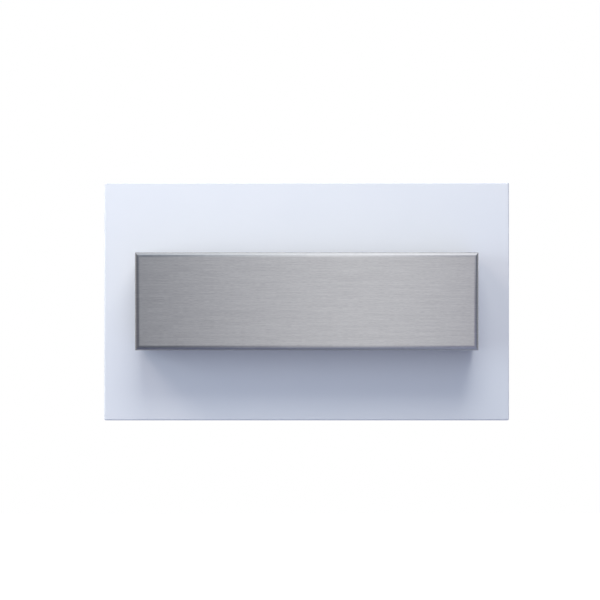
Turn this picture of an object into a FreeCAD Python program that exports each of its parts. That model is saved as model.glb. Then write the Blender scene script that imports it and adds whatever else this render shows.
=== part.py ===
# Letter plate for a door, gate or fence. A gloss white face plate carries a lift-up box flap of
# brushed stainless steel. Behind the flap a moulded liner forms the letter slot. It telescopes in a
# sleeve on the room side, where a frame with a sprung inner flap closes the way through the leaf.
# Four threaded pillars on the face plate pass through the leaf and take bolts from the room side.
#
# Millimetres. Seen from the street, +X is to the right, +Y goes through the leaf to the room and
# +Z is up. The origin is the centre of the four pillars, on the street face of the leaf.
import FreeCAD, Part
import math
import os

from FreeCAD import Vector

# ---- face plate ----
PLATE_WIDTH = 340.0
PLATE_HEIGHT = 200.0
PLATE_THICK = 4.0
PLATE_CORNER = 1.5
PLATE_EDGE = 1.2

# ---- leaf that the letter plate is clamped to ----
LEAF_THICK = 44.0
GASKET_THICK = 2.0
PLATE_BACK = -GASKET_THICK
PLATE_FRONT = PLATE_BACK - PLATE_THICK

# ---- letter slot and its two telescoping sleeves ----
SLOT_WIDTH = 240.0
SLOT_HEIGHT = 35.0
SLOT_CORNER = 3.0
SLEEVE_WALL = 1.5
SLEEVE_PLAY = 0.5
LINER_END = 36.0
REAR_SLEEVE_START = 10.0

# ---- box flap ----
FLAP_WIDTH = 280.0
FLAP_HEIGHT = 80.0
FLAP_DEPTH = 33.0
FLAP_SHEET = 1.5
FLAP_BEND = 4.5
FLAP_FRONT = PLATE_FRONT - FLAP_DEPTH
PAD_THICK = 1.0
HINGE_Y = PLATE_FRONT - 16.0
HINGE_Z = 33.0
SWEEP = PLATE_FRONT - HINGE_Y - 0.4
OPEN_ANGLE = 75.0

# ---- fixings ----
PILLAR_X = 140.0
PILLAR_Z = 30.0
PILLAR_RADIUS = 4.0
PILLAR_END = 34.0
BOLT_RADIUS = 2.45

# ---- room side ----
FRAME_WIDTH = 300.0
FRAME_HEIGHT = 92.0
FRAME_THICK = 4.0
FRAME_FACE = LEAF_THICK + FRAME_THICK
SEAL_THICK = 2.0
INNER_SHEET = 1.5
KNUCKLE_RADIUS = 3.55
ROD_RADIUS = 2.0
ROD_Y = FRAME_FACE + SEAL_THICK + KNUCKLE_RADIUS
ROD_Z = 31.0

RUNNING_PLAY = 0.05


def box(x0, x1, y0, y1, z0, z1):
    """Block between two corners."""
    return Part.makeBox(x1 - x0, y1 - y0, z1 - z0, Vector(x0, y0, z0))


def rod_x(y, z, radius, x0, x1):
    """Cylinder along X."""
    return Part.makeCylinder(radius, x1 - x0, Vector(x0, y, z), Vector(1, 0, 0))


def rod_y(x, z, radius, y0, y1):
    """Cylinder along Y."""
    return Part.makeCylinder(radius, y1 - y0, Vector(x, y0, z), Vector(0, 1, 0))


def cone_y(x, z, r0, r1, y0, y1):
    """Cone along Y, r0 at y0 and r1 at y1."""
    return Part.makeCone(r0, r1, y1 - y0, Vector(x, y0, z), Vector(0, 1, 0))


def edges_along(shape, test):
    """The straight edges whose two end points both pass the test."""
    return [e for e in shape.Edges if len(e.Vertexes) == 2 and all(test(v.Point) for v in e.Vertexes)]


def slab(half_width, half_height, corner, y0, y1):
    """Plate across Y with rounded corners, centred on the axis of the slot."""
    plate = box(-half_width, half_width, y0, y1, -half_height, half_height)
    upright = [e for e in plate.Edges if abs(e.tangentAt(0).y) > 0.9]
    return plate.makeFillet(corner, upright)


def round_rim(shape, y, radius):
    """Rounds the outline of the face that lies at y."""
    face = max((f for f in shape.Faces if abs(f.CenterOfMass.y - y) < 1e-6), key=lambda f: f.Area)
    return shape.makeFillet(radius, face.OuterWire.Edges)


def plate_yz(points, x0, x1):
    """Flat piece across X, from its outline in Y and Z."""
    outline = Part.makePolygon([Vector(x0, y, z) for y, z in points + points[:1]])
    return Part.Face(outline).extrude(Vector(x1 - x0, 0, 0))


def hex_socket(x, z, across_flats, y0, y1):
    """Hexagonal recess along Y."""
    reach = across_flats / math.sqrt(3)
    turns = [math.radians(60 * k) for k in range(6)]
    corners = [Vector(x + reach * math.cos(a), y0, z + reach * math.sin(a)) for a in turns]
    return Part.Face(Part.makePolygon(corners + corners[:1])).extrude(Vector(0, y1 - y0, 0))


def mirrored(shape):
    """The same piece on the left-hand side."""
    return shape.mirror(Vector(0, 0, 0), Vector(1, 0, 0))


def fused(first, *others):
    """One solid from several that meet or overlap."""
    return first.multiFuse(list(others)).removeSplitter()


def four_corners(half_x, half_z):
    """The four places of a rectangular pattern."""
    return [(sx * half_x, sz * half_z) for sx in (-1, 1) for sz in (-1, 1)]


def save(name, *solids):
    """Writes one node as STEP, and stops on anything that isn't a sound solid."""
    bodies = [s for shape in solids for s in shape.Solids]
    if not bodies or not all(s.isValid() and s.Volume > 0 for s in bodies):
        raise ValueError(f"{name} is not a sound solid")
    node = bodies[0] if len(bodies) == 1 else Part.makeCompound(bodies)
    node.exportStep(os.path.join("parts", name + ".step"))
    print(f"{name:24s} {len(bodies)} solid(s) {sum(s.Volume for s in bodies):10.1f} mm3")


# ================= street side =================

EAR_INNER_X = 126.5
EAR_THICK = 2.5
EAR_FOOT_WIDTH = 9.5
EAR_FOOT_THICK = 3.0
EAR_TOP = 19.5
EAR_BOTTOM = -18.0
EAR_EYE = 5.0
EAR_FRONT = HINGE_Y - EAR_EYE
EAR_STRAP_BACK = HINGE_Y + 2.5
EAR_SCREW_X = 131.5
EAR_SCREW_Z = (-12.0, 12.0)
LINER_SCREW = (95.0, 21.0)
M4_RADIUS = 1.95
M3_RADIUS = 1.45


def front_plate():
    """Gloss coated aluminium plate, with the slot and blind holes for what is fixed to it."""
    plate = slab(PLATE_WIDTH / 2, PLATE_HEIGHT / 2, PLATE_CORNER, PLATE_FRONT, PLATE_BACK)
    plate = round_rim(plate, PLATE_FRONT, PLATE_EDGE)
    half_w = SLOT_WIDTH / 2 + SLEEVE_WALL + 0.3
    half_h = SLOT_HEIGHT / 2 + SLEEVE_WALL + 0.3
    cuts = [slab(half_w, half_h, SLOT_CORNER + SLEEVE_WALL, PLATE_FRONT - 1, PLATE_BACK + 1)]
    for x, z in four_corners(PILLAR_X, PILLAR_Z):
        cuts.append(rod_y(x, z, 2.5, PLATE_BACK - 2.5, PLATE_BACK))
    for side in (-1, 1):
        for z in EAR_SCREW_Z:
            cuts.append(rod_y(side * EAR_SCREW_X, z, M4_RADIUS + 0.2, PLATE_FRONT, PLATE_BACK))
            cuts.append(cone_y(side * EAR_SCREW_X, z, M4_RADIUS, 4.2, PLATE_BACK - 2.2, PLATE_BACK))
    for x, z in four_corners(*LINER_SCREW):
        cuts.append(rod_y(x, z, M3_RADIUS + 0.05, PLATE_FRONT, PLATE_FRONT + 3.0))
    return plate.cut(cuts)


def plate_gasket():
    """Closed-cell foam sheet that beds the plate on the leaf."""
    inset = 4.0
    sheet = slab(PLATE_WIDTH / 2 - inset, PLATE_HEIGHT / 2 - inset, 3.0, PLATE_BACK, 0)
    opening = slab(SLOT_WIDTH / 2 + 3, SLOT_HEIGHT / 2 + 3, 5.0, PLATE_BACK - 1, 1)
    holes = [rod_y(x, z, PILLAR_RADIUS + 1.5, PLATE_BACK - 1, 1) for x, z in four_corners(PILLAR_X, PILLAR_Z)]
    return sheet.cut([opening] + holes)


def fixing_pillar(x, z):
    """Pillar pressed into the back of the plate, tapped M5 from its far end."""
    body = rod_y(x, z, PILLAR_RADIUS, PLATE_BACK, PILLAR_END - 0.5)
    tip = cone_y(x, z, PILLAR_RADIUS, PILLAR_RADIUS - 0.5, PILLAR_END - 0.5, PILLAR_END)
    spigot = rod_y(x, z, 2.5, PLATE_BACK - 2.5, PLATE_BACK)
    thread = rod_y(x, z, BOLT_RADIUS + 0.1, 18.0, PILLAR_END)
    return fused(body, tip, spigot).cut(thread)


def slot_liner():
    """Moulded liner of the letter slot: a flange on the plate and a tube into the leaf."""
    half_w = SLOT_WIDTH / 2
    half_h = SLOT_HEIGHT / 2
    flange_front = PLATE_FRONT - 2.0
    tube = slab(half_w + SLEEVE_WALL, half_h + SLEEVE_WALL, SLOT_CORNER + SLEEVE_WALL, PLATE_FRONT, LINER_END)
    flange = slab(half_w + 5.5, half_h + 7.0, 4.0, flange_front, PLATE_FRONT)
    flange = round_rim(flange, flange_front, 1.0)
    bore = slab(half_w, half_h, SLOT_CORNER, flange_front, LINER_END)
    liner = fused(tube, flange).cut(bore)
    mouth = [e for e in liner.Edges if abs(e.CenterOfMass.y - flange_front) < 1e-6]
    inside = [e for e in mouth if abs(e.CenterOfMass.x) < half_w + 1 and abs(e.CenterOfMass.z) < half_h + 1]
    liner = liner.makeFillet(1.5, inside)
    for x, z in four_corners(*LINER_SCREW):
        hole = rod_y(x, z, M3_RADIUS + 0.15, flange_front, PLATE_FRONT)
        sink = cone_y(x, z, 2.95, M3_RADIUS, flange_front, flange_front + 1.5)
        liner = liner.cut([hole, sink])
    return liner


def liner_screw(x, z):
    """M3 countersunk screw through the liner's flange."""
    top = PLATE_FRONT - 2.0
    head = cone_y(x, z, 2.8, M3_RADIUS, top + 0.05, top + 1.45)
    shank = rod_y(x, z, M3_RADIUS, top + 1.4, PLATE_FRONT + 2.8)
    return fused(head, shank).cut(hex_socket(x, z, 2.0, top - 1, top + 1.0))


def hinge_ear():
    """Right-hand ear: a foot on the plate beside the slot and a gooseneck up to the hinge axis.
    The neck stays below and in front of the path of the flap's top wall."""
    x0 = EAR_INNER_X
    x1 = EAR_INNER_X + EAR_THICK
    foot_front = PLATE_FRONT - EAR_FOOT_THICK
    foot = box(x0, x0 + EAR_FOOT_WIDTH, foot_front, PLATE_FRONT, EAR_BOTTOM, EAR_TOP)
    neck = plate_yz(
        [
            (PLATE_FRONT, -10.0),
            (PLATE_FRONT, EAR_TOP),
            (EAR_STRAP_BACK + 2.0, EAR_TOP),
            (EAR_STRAP_BACK, EAR_TOP + 2.0),
            (EAR_STRAP_BACK, HINGE_Z),
            (EAR_FRONT, HINGE_Z),
            (EAR_FRONT, EAR_TOP - 3.0),
            (foot_front, -10.0),
        ],
        x0,
        x1,
    )
    eye = rod_x(HINGE_Y, HINGE_Z, EAR_EYE, x0, x1)
    ear = fused(foot, neck, eye)
    cuts = [rod_x(HINGE_Y, HINGE_Z, 3.5, x0 - 1, x1 + 1)]
    leg_y, leg_z = polar(FIXED_LEG_ANGLE, LEG_REACH)
    cuts.append(rod_x(leg_y, leg_z, WIRE_RADIUS + 0.15, x0 - 1, x1 + 1))
    for z in EAR_SCREW_Z:
        cuts.append(rod_y(EAR_SCREW_X, z, M4_RADIUS + 0.05, foot_front, PLATE_FRONT))
    return ear.cut(cuts)


def ear_screw(x, z):
    """M4 countersunk screw from the back of the plate into an ear's foot."""
    head = cone_y(x, z, M4_RADIUS, 4.0, PLATE_BACK - 2.15, PLATE_BACK - 0.1)
    shank = rod_y(x, z, M4_RADIUS, PLATE_FRONT - 2.6, PLATE_BACK - 2.1)
    return fused(head, shank).cut(hex_socket(x, z, 2.5, PLATE_BACK - 1.5, PLATE_BACK))


def pivot_bush():
    """Flanged nylon bush in the right-hand ear."""
    flange = rod_x(HINGE_Y, HINGE_Z, 4.8, EAR_INNER_X - 1.0, EAR_INNER_X)
    barrel = rod_x(HINGE_Y, HINGE_Z, 3.5, EAR_INNER_X - 1.0, EAR_INNER_X + EAR_THICK + 0.2)
    bore = rod_x(HINGE_Y, HINGE_Z, 2.5 + RUNNING_PLAY, EAR_INNER_X - 2.0, EAR_INNER_X + EAR_THICK + 1.0)
    return fused(flange, barrel).cut(bore)


def flap_pad(side):
    """Soft pad on the plate that one cheek of the flap closes on."""
    x = side * (FLAP_WIDTH / 2 - 1.6)
    return box(x - 1.4, x + 1.4, PLATE_FRONT - PAD_THICK, PLATE_FRONT, -35.0, -21.0)


# ================= box flap =================

CHEEK = FLAP_WIDTH / 2 - FLAP_SHEET
PIVOT_SHEET = 1.5
BOSS_FACE = 135.0
LIP_DEPTH = 12.0
LIP_UPTURN = 6.5
LIP_END_GAP = 2.0


def outer_flap():
    """Box flap folded from one sheet, corners welded and ground. The top wall and cheeks are cut to
    the arc that clears the plate. The bottom wall is a short lip turned up inside for the fingers."""
    half_w = FLAP_WIDTH / 2
    half_h = FLAP_HEIGHT / 2
    back = PLATE_FRONT - PAD_THICK
    outside = box(-half_w, half_w, FLAP_FRONT, back, -half_h, half_h)
    outside = outside.makeFillet(1.2, [e for e in outside.Edges if abs(e.tangentAt(0).y) > 0.9])
    outside = round_rim(outside, FLAP_FRONT, FLAP_BEND)
    t = FLAP_SHEET
    inside = box(-half_w + t, half_w - t, FLAP_FRONT + t, back + 1, -half_h + t, half_h - t)
    inside = round_rim(inside, FLAP_FRONT + t, FLAP_BEND - t)
    shell = outside.cut(inside)
    lip_back = FLAP_FRONT + LIP_DEPTH
    missing = box(-half_w + t, half_w - t, lip_back, back + 1, -half_h - 1, -half_h + t + 0.01)
    end = half_w - t - LIP_END_GAP
    upturn = box(-end, end, lip_back - t, lip_back, -half_h + 0.5, -half_h + LIP_UPTURN)
    shell = fused(shell.cut(missing), upturn)
    over = box(-half_w - 1, half_w + 1, HINGE_Y, back + 1, HINGE_Z, half_h + 1)
    over = over.cut(rod_x(HINGE_Y, HINGE_Z, SWEEP, -half_w - 2, half_w + 2))
    heel = box(-half_w - 1, half_w + 1, back - 4, back + 1, -half_h - 1, -half_h + 4)
    heel = heel.cut(rod_x(back - 4, -half_h + 4, 4.0, -half_w - 2, half_w + 2))
    return shell.cut([over, heel])


def pivot_plate():
    """Plate welded inside the right-hand cheek, with a tapped boss on the hinge axis, a hole for the
    spring's leg and a tab that meets the ear's neck when the flap is fully open."""
    x1 = CHEEK
    x0 = CHEEK - PIVOT_SHEET
    plate = box(x0, x1, HINGE_Y - 11, HINGE_Y + 11, HINGE_Z - 8, HINGE_Z + 5)
    low = [e for e in plate.Edges if abs(e.tangentAt(0).x) > 0.9 and e.CenterOfMass.z < HINGE_Z]
    plate = plate.makeFillet(3.0, low)
    tab = box(EAR_INNER_X + 1.5, x1, HINGE_Y + 9, HINGE_Y + 11, HINGE_Z + 0.5, HINGE_Z + 4.5)
    boss = rod_x(HINGE_Y, HINGE_Z, 4.5, BOSS_FACE, x0)
    thread = rod_x(HINGE_Y, HINGE_Z, M4_RADIUS + 0.05, BOSS_FACE - 1, x1)
    leg_y, leg_z = polar(MOVING_LEG_ANGLE, LEG_REACH)
    leg_hole = rod_x(leg_y, leg_z, WIRE_RADIUS + 0.15, x0 - 1, x1)
    return fused(plate, tab, boss).cut([thread, leg_hole])


def pivot_screw():
    """Shoulder screw: its shoulder turns in the ear's bush, its M4 thread is in the boss."""
    under_head = EAR_INNER_X - 1.3
    head = rod_x(HINGE_Y, HINGE_Z, 4.0, under_head - 2.8, under_head)
    shoulder = rod_x(HINGE_Y, HINGE_Z, 2.5, under_head, BOSS_FACE - 0.05)
    thread = rod_x(HINGE_Y, HINGE_Z, M4_RADIUS, BOSS_FACE - 0.1, CHEEK - 0.2)
    socket = hex_socket(0, 0, 3.0, 0, 2.0)
    socket.rotate(Vector(0, 0, 0), Vector(0, 0, 1), -90)
    socket.translate(Vector(under_head - 2.8, HINGE_Y, HINGE_Z))
    return fused(head, shoulder, thread).cut(socket)


# ================= torsion springs =================

WIRE_RADIUS = 0.5
COIL_RADIUS = 3.7
LEG_REACH = 9.0
FIXED_LEG_ANGLE = -100.0
MOVING_LEG_ANGLE = 180.0
COIL_START_X = 129.9
COIL_PITCH = 1.1


def polar(angle, reach, centre=(HINGE_Y, HINGE_Z)):
    """Point in Y and Z at an angle from +Y towards +Z about the hinge axis."""
    a = math.radians(angle)
    return centre[0] + reach * math.cos(a), centre[1] + reach * math.sin(a)


def coil(radius, wire, pitch, start, end, turns, x0, centre):
    """Wire coil round an axis along X, from the start angle to the end angle and some full turns more.
    With positive turns it winds from +Y towards +Z, with negative turns the other way."""
    sense = 1 if turns > 0 else -1
    sweep = (sense * (end - start)) % 360.0 + abs(turns) * 360.0
    count = math.ceil(sweep / 360.0)
    step = sweep / count
    arcs = []
    for k in range(count):
        arc = Part.makeHelix(pitch, pitch * step / 360.0, radius, 0, sense < 0)
        arc.rotate(Vector(0, 0, 0), Vector(1, 1, 1), 120)
        arc.rotate(Vector(0, 0, 0), Vector(1, 0, 0), start + sense * k * step)
        arc.translate(Vector(x0 + k * pitch * step / 360.0, *centre))
        arcs.append(arc.Edges[0])
    begin = arcs[0].FirstParameter
    ring = Part.Wire(Part.makeCircle(wire, arcs[0].valueAt(begin), arcs[0].tangentAt(begin)))
    return Part.Wire(arcs).makePipeShell([ring], True, True), x0 + pitch * sweep / 360.0


def wire_run(points, wire):
    """Wire through a line of points, a little swollen where it is bent."""
    balls = [Part.makeSphere(wire * 1.06, p) for p in points[:-1]]
    return balls + [Part.makeCylinder(wire, (b - a).Length, a, b - a) for a, b in zip(points, points[1:])]


def lead(coil_radius, reach):
    """Angle at the axis between a leg's tip and the place where the leg leaves the coil."""
    return math.degrees(math.acos(coil_radius / reach))


def closing_spring():
    """Right-hand torsion spring: one leg hooked in the ear, the other in the pivot plate."""
    centre = (HINGE_Y, HINGE_Z)
    start = FIXED_LEG_ANGLE - lead(COIL_RADIUS, LEG_REACH)
    end = MOVING_LEG_ANGLE + lead(COIL_RADIUS, LEG_REACH)
    body, far_x = coil(COIL_RADIUS, WIRE_RADIUS, COIL_PITCH, start, end, -3, COIL_START_X, centre)
    legs = []
    for x, at, tip, tip_x in (
        (COIL_START_X, start, FIXED_LEG_ANGLE, EAR_INNER_X + 0.5),
        (far_x, end, MOVING_LEG_ANGLE, CHEEK - 0.2),
    ):
        leaves = Vector(x, *polar(at, COIL_RADIUS))
        bend = Vector(x, *polar(tip, LEG_REACH))
        legs += wire_run([leaves, bend, Vector(tip_x, bend.y, bend.z)], WIRE_RADIUS)
    return fused(body, *legs)


# ================= room side =================

SLEEVE_INNER_W = SLOT_WIDTH / 2 + SLEEVE_WALL + SLEEVE_PLAY
SLEEVE_INNER_H = SLOT_HEIGHT / 2 + SLEEVE_WALL + SLEEVE_PLAY
SLEEVE_FLANGE = 4.5
LUG_X = 131.0
LUG_THICK = 3.5
FLAP_HALF = 130.0
KNUCKLES = ((-130.0, -114.0), (-30.0, 30.0), (114.0, 130.0))
INNER_FLAP_BOTTOM = -29.0
INNER_FLAP_TOP = 27.0
INNER_RETURN = 7.5
INNER_WIRE = 0.5
INNER_COIL = 3.2
INNER_COIL_X = 101.5
INNER_COIL_PITCH = 1.3
INNER_NOTCH = 22.5
INNER_NOTCH_X = 109.0


def rear_sleeve():
    """Moulded sleeve that the liner slides in, with a flange let into the frame."""
    w = SLEEVE_INNER_W
    h = SLEEVE_INNER_H
    tube = slab(w + SLEEVE_WALL, h + SLEEVE_WALL, 6.5, REAR_SLEEVE_START, LEAF_THICK)
    flange = slab(w + SLEEVE_WALL + SLEEVE_FLANGE, h + SLEEVE_WALL + SLEEVE_FLANGE, 6.0, LEAF_THICK, LEAF_THICK + 1)
    return fused(tube, flange).cut(slab(w, h, 5.0, REAR_SLEEVE_START - 1, LEAF_THICK + 2))


def inner_frame():
    """Coated frame on the room side, with two lugs for the rod of the inner flap."""
    frame = slab(FRAME_WIDTH / 2, FRAME_HEIGHT / 2, 4.0, LEAF_THICK, FRAME_FACE)
    frame = round_rim(frame, FRAME_FACE, 1.5)
    w = SLEEVE_INNER_W
    h = SLEEVE_INNER_H
    grow = SLEEVE_WALL + SLEEVE_FLANGE + 0.2
    recess = slab(w + grow, h + grow, 6.2, LEAF_THICK - 1, LEAF_THICK + 1)
    frame = frame.cut([slab(w, h, 5.0, LEAF_THICK - 1, FRAME_FACE + 1), recess])
    for side in (-1, 1):
        x0 = LUG_X if side > 0 else -LUG_X - LUG_THICK
        base = plate_yz(
            [(FRAME_FACE - 1, 24.0), (FRAME_FACE - 1, 38.0), (ROD_Y, ROD_Z + 4), (ROD_Y, ROD_Z - 4)],
            x0,
            x0 + LUG_THICK,
        )
        eye = rod_x(ROD_Y, ROD_Z, 4.0, x0, x0 + LUG_THICK)
        hole = rod_x(ROD_Y, ROD_Z, ROD_RADIUS, x0 - 1, x0 + LUG_THICK + 1)
        frame = fused(frame, base, eye).cut(hole)
    for x, z in four_corners(PILLAR_X, PILLAR_Z):
        hole = rod_y(x, z, 2.75, LEAF_THICK - 1, FRAME_FACE + 1)
        sink = cone_y(x, z, BOLT_RADIUS, 5.25, FRAME_FACE - 2.8, FRAME_FACE)
        frame = frame.cut([hole, sink])
    return frame


def fixing_bolt(x, z):
    """M5 countersunk bolt from the room side into a pillar."""
    head = cone_y(x, z, BOLT_RADIUS, 5.0, FRAME_FACE - 2.65, FRAME_FACE - 0.1)
    shank = rod_y(x, z, BOLT_RADIUS, FRAME_FACE - 25.0, FRAME_FACE - 2.6)
    return fused(head, shank).cut(hex_socket(x, z, 3.0, FRAME_FACE - 1.9, FRAME_FACE))


def inner_seal():
    """Soft seal round the window that the inner flap closes on."""
    ring = slab(129.0, 26.5, 6.0, FRAME_FACE, FRAME_FACE + SEAL_THICK)
    return ring.cut(slab(123.0, 20.5, 5.0, FRAME_FACE - 1, FRAME_FACE + SEAL_THICK + 1))


def inner_flap():
    """Stainless flap hung from the rod by three rolled knuckles, its bottom edge folded to the room."""
    front = FRAME_FACE + SEAL_THICK
    t = INNER_SHEET
    panel = box(-FLAP_HALF, FLAP_HALF, front, front + t, INNER_FLAP_BOTTOM, INNER_FLAP_TOP)
    fold = box(-FLAP_HALF, FLAP_HALF, front, front + INNER_RETURN, INNER_FLAP_BOTTOM, INNER_FLAP_BOTTOM + t)
    flap = fused(panel, fold)
    bend = edges_along(flap, lambda p: abs(p.y - front) < 1e-6 and abs(p.z - INNER_FLAP_BOTTOM) < 1e-6)
    flap = flap.makeFillet(1.4, bend)
    for side in (-1, 1):
        x = side * INNER_NOTCH_X
        flap = flap.cut(box(x - 2.5, x + 2.5, front - 1, front + t + 1, INNER_NOTCH, INNER_FLAP_TOP + 1))
    rolls = []
    for x0, x1 in KNUCKLES:
        rolls.append(box(x0, x1, front, front + t, INNER_FLAP_TOP - 1, ROD_Z))
        rolls.append(rod_x(ROD_Y, ROD_Z, KNUCKLE_RADIUS, x0, x1))
    bore = rod_x(ROD_Y, ROD_Z, ROD_RADIUS + RUNNING_PLAY, -FLAP_HALF - 1, FLAP_HALF + 1)
    return fused(flap, *rolls).cut(bore)


def hinge_rod():
    """Rod of the inner flap, from lug to lug."""
    end = LUG_X + LUG_THICK + 2.0
    return rod_x(ROD_Y, ROD_Z, ROD_RADIUS, -end, end)


def rod_clip():
    """Push-on washer on the right-hand end of the rod."""
    x0 = LUG_X + LUG_THICK + 0.1
    washer = rod_x(ROD_Y, ROD_Z, 4.2, x0, x0 + 0.7)
    return washer.cut(rod_x(ROD_Y, ROD_Z, ROD_RADIUS, x0 - 1, x0 + 2))


def inner_spring():
    """Right-hand torsion spring of the inner flap. One leg bears on the frame above the rod. The other
    comes through a notch in the flap's top edge and bears on the flap's room side."""
    centre = (ROD_Y, ROD_Z)
    on_frame = (FRAME_FACE + INNER_WIRE + 0.05, ROD_Z + 11.0)
    on_flap = (FRAME_FACE + SEAL_THICK + INNER_SHEET + INNER_WIRE + 0.05, INNER_NOTCH + 0.6)
    turns = []
    for (y, z), sense in ((on_frame, 1), (on_flap, -1)):
        reach = math.hypot(y - ROD_Y, z - ROD_Z)
        turns.append(math.degrees(math.atan2(z - ROD_Z, y - ROD_Y)) + sense * lead(INNER_COIL, reach))
    start, end = turns
    body, far_x = coil(INNER_COIL, INNER_WIRE, INNER_COIL_PITCH, start, end, 5, INNER_COIL_X, centre)
    fixed = [Vector(INNER_COIL_X, *polar(start, INNER_COIL, centre)), Vector(INNER_COIL_X, *on_frame)]
    moving = [
        Vector(far_x, *polar(end, INNER_COIL, centre)),
        Vector(far_x, *on_flap),
        Vector(far_x, on_flap[0], 8.0),
    ]
    return fused(body, *wire_run(fixed, INNER_WIRE), *wire_run(moving, INNER_WIRE))


os.makedirs("parts", exist_ok=True)

save("front_plate", front_plate())
save("plate_gasket", plate_gasket())
save("fixing_pillars", *[fixing_pillar(x, z) for x, z in four_corners(PILLAR_X, PILLAR_Z)])
save("slot_liner", slot_liner())
save("liner_screws", *[liner_screw(x, z) for x, z in four_corners(*LINER_SCREW)])
save("right_hinge_ear", hinge_ear())
save("left_hinge_ear", mirrored(hinge_ear()))
save("ear_screws", *[ear_screw(side * EAR_SCREW_X, z) for side in (-1, 1) for z in EAR_SCREW_Z])
save("right_pivot_bush", pivot_bush())
save("left_pivot_bush", mirrored(pivot_bush()))
save("flap_pads", flap_pad(-1), flap_pad(1))
save("outer_flap", outer_flap())
save("right_pivot_plate", pivot_plate())
save("left_pivot_plate", mirrored(pivot_plate()))
save("right_pivot_screw", pivot_screw())
save("left_pivot_screw", mirrored(pivot_screw()))
save("right_closing_spring", closing_spring())
save("left_closing_spring", mirrored(closing_spring()))
save("rear_sleeve", rear_sleeve())
save("inner_frame", inner_frame())
save("inner_seal", inner_seal())
save("fixing_bolts", *[fixing_bolt(x, z) for x, z in four_corners(PILLAR_X, PILLAR_Z)])
save("inner_flap", inner_flap())
save("inner_hinge_rod", hinge_rod())
save("rod_clips", rod_clip(), mirrored(rod_clip()))
save("right_inner_spring", inner_spring())
save("left_inner_spring", mirrored(inner_spring()))
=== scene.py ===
import math

import bmesh
import bpy
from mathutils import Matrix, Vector


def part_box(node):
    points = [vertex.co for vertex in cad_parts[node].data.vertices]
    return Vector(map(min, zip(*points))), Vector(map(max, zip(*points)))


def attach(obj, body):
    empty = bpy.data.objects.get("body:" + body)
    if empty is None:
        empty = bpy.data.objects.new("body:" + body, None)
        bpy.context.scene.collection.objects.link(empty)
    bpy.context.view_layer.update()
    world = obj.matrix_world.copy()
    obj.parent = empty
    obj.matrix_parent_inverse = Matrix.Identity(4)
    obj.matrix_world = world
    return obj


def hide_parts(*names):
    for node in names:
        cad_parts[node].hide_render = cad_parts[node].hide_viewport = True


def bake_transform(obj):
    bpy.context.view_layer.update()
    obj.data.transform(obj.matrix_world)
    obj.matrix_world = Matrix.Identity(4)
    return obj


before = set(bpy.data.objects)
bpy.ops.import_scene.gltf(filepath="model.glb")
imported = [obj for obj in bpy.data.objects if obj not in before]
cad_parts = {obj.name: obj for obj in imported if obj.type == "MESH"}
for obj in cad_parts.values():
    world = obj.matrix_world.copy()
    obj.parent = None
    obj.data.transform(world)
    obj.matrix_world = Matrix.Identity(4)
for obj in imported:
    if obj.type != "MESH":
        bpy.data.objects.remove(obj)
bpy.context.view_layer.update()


# ---- Face plate ----
# Aluminium plate, laser cut with a slot for the letters, its edges broken by a small radius and
# powder coated gloss white. Nothing shows on its face: everything is fixed to it from behind.

# millimetres that a cutter reaches past a face
CUT_PAST = 5


def nothing_selected():
    """Leaves edit mode and deselects every object."""
    if bpy.context.object and bpy.context.object.mode == "EDIT":
        bpy.ops.object.mode_set(mode="OBJECT")
    bpy.ops.object.select_all(action="DESELECT")


def work_on(piece):
    """Makes the piece the only selected object."""
    nothing_selected()
    piece.select_set(True)
    bpy.context.view_layer.objects.active = piece


def block(name, low, high):
    """A cube brought to its size and place, between two corners in millimetres."""
    nothing_selected()
    low, high = Vector(low), Vector(high)
    bpy.ops.mesh.primitive_cube_add(size=1, location=(low + high) / 2000)
    piece = bpy.context.object
    piece.name = piece.data.name = name
    piece.scale = (high - low) / 1000
    bpy.ops.object.transform_apply(location=True, rotation=True, scale=True)
    return piece


def pick(piece, kind, test):
    """Selects, in edit mode, only the vertices, edges or faces that pass the test."""
    if piece.mode != "EDIT":
        work_on(piece)
        bpy.ops.object.mode_set(mode="EDIT")
    bpy.ops.mesh.select_mode(type=kind)
    bpy.ops.mesh.select_all(action="DESELECT")
    mesh = bmesh.from_edit_mesh(piece.data)
    for part in {"VERT": mesh.verts, "EDGE": mesh.edges, "FACE": mesh.faces}[kind]:
        if test(part):
            part.select_set(True)
    mesh.select_flush_mode()
    bmesh.update_edit_mesh(piece.data)


def within(low, high):
    """A test for parts that lie wholly between two corners in millimetres, to a hundredth."""
    def test(part):
        corners = [part] if isinstance(part, bmesh.types.BMVert) else part.verts
        return all(low[k] - 0.01 < v.co[k] * 1000 < high[k] + 0.01 for v in corners for k in range(3))
    return test


def runs_along(axis):
    """A test for straight edges that run along one axis, 0 for X, 1 for Y and 2 for Z."""
    def test(edge):
        line = edge.verts[1].co - edge.verts[0].co
        return abs(line[axis]) > 0.99 * line.length
    return test


def modify(piece, kind, **settings):
    """Adds a modifier to the piece and applies it."""
    work_on(piece)
    change = piece.modifiers.new(kind.lower(), kind)
    for setting, value in settings.items():
        setattr(change, setting, value)
    bpy.ops.object.modifier_apply(modifier=change.name)


def round_edges(piece, width, segments=2, angle=50):
    """Bevels the piece's sharp edges, by a width in millimetres."""
    modify(piece, "BEVEL", width=width / 1000, segments=segments, limit_method="ANGLE",
           angle_limit=math.radians(angle))


def cut(piece, *cutters):
    """Cuts the shape of each cutter out of the piece."""
    for cutter in cutters:
        modify(piece, "BOOLEAN", operation="DIFFERENCE", solver="EXACT", object=cutter)
        bpy.data.objects.remove(cutter)


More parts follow.
